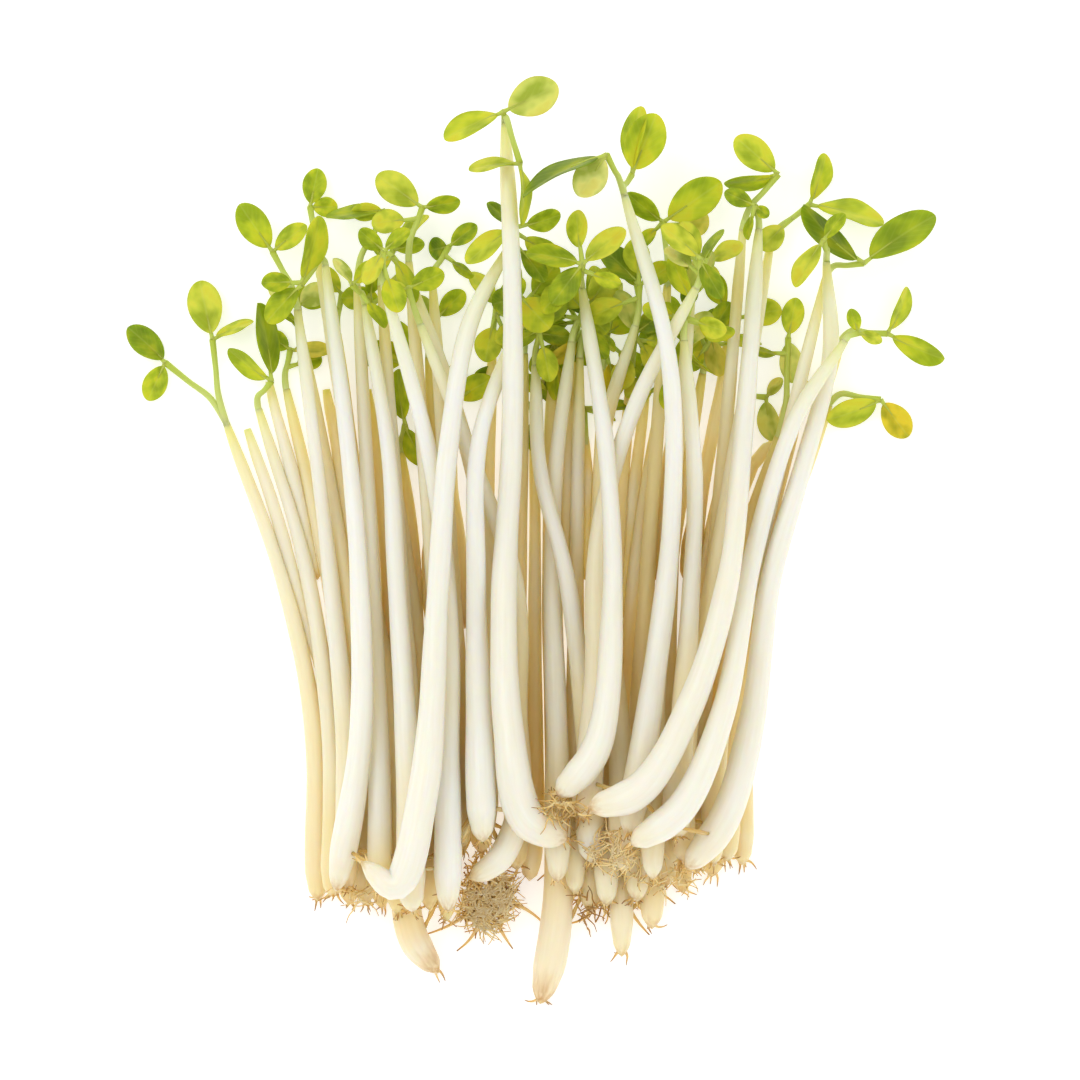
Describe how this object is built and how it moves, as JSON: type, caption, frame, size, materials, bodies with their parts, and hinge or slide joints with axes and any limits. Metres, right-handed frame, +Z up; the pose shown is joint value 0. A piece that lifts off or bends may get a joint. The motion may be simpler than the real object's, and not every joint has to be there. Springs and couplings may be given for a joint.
{
  "type": "mung bean sprout clump",
  "caption": "Clump of mung bean sprouts lying flat: pale stems fanned out from matted roots to small green leaflets.",
  "frame": {"origin": "centre of the clump's footprint, on the surface it lies on", "axes": "+Y along the stems from the roots to the leaves, +X to the right seen from above, +Z up"},
  "size_m": [0.1032, 0.1168, 0.0229],
  "materials": {
    "stem": "moist, slightly glossy",
    "leaf": "satin, slightly translucent",
    "root": "matt, fibrous"
  },
  "bodies": {
    "root": {"stems_bottom_left": "stem", "stems_bottom_right": "stem", "stems_lower_left": "stem", "stems_lower_right": "stem", "stems_upper_left": "stem", "stems_upper_right": "stem", "stems_front_left": "stem", "stems_front_right": "stem", "root_mat_left": "root", "root_mat_right": "root", "leaves_01": "leaf", "leaves_02": "leaf", "leaves_03": "leaf", "leaves_04": "leaf", "leaves_05": "leaf", "leaves_06": "leaf", "leaves_07": "leaf", "leaves_08": "leaf", "leaves_09": "leaf", "leaves_10": "leaf", "leaves_11": "leaf", "leaves_12": "leaf", "leaves_13": "leaf", "leaves_14": "leaf", "leaves_15": "leaf", "leaves_16": "leaf", "leaves_17": "leaf", "leaves_18": "leaf", "leaves_19": "leaf", "leaves_20": "leaf", "leaves_21": "leaf", "leaves_22": "leaf", "leaves_23": "leaf", "leaves_24": "leaf", "leaves_25": "leaf", "leaves_26": "leaf", "leaves_27": "leaf", "leaves_28": "leaf", "leaves_29": "leaf", "leaves_30": "leaf", "leaves_31": "leaf", "leaves_32": "leaf", "leaves_33": "leaf", "leaves_34": "leaf", "leaves_35": "leaf", "leaves_36": "leaf", "leaves_37": "leaf", "leaves_38": "leaf", "leaves_39": "leaf", "leaves_40": "leaf", "leaves_41": "leaf", "leaves_42": "leaf", "leaves_43": "leaf", "leaves_44": "leaf", "leaves_45": "leaf", "leaves_46": "leaf", "leaves_47": "leaf", "leaves_48": "leaf", "leaves_49": "leaf", "leaves_50": "leaf"}
  },
  "joints": []
}
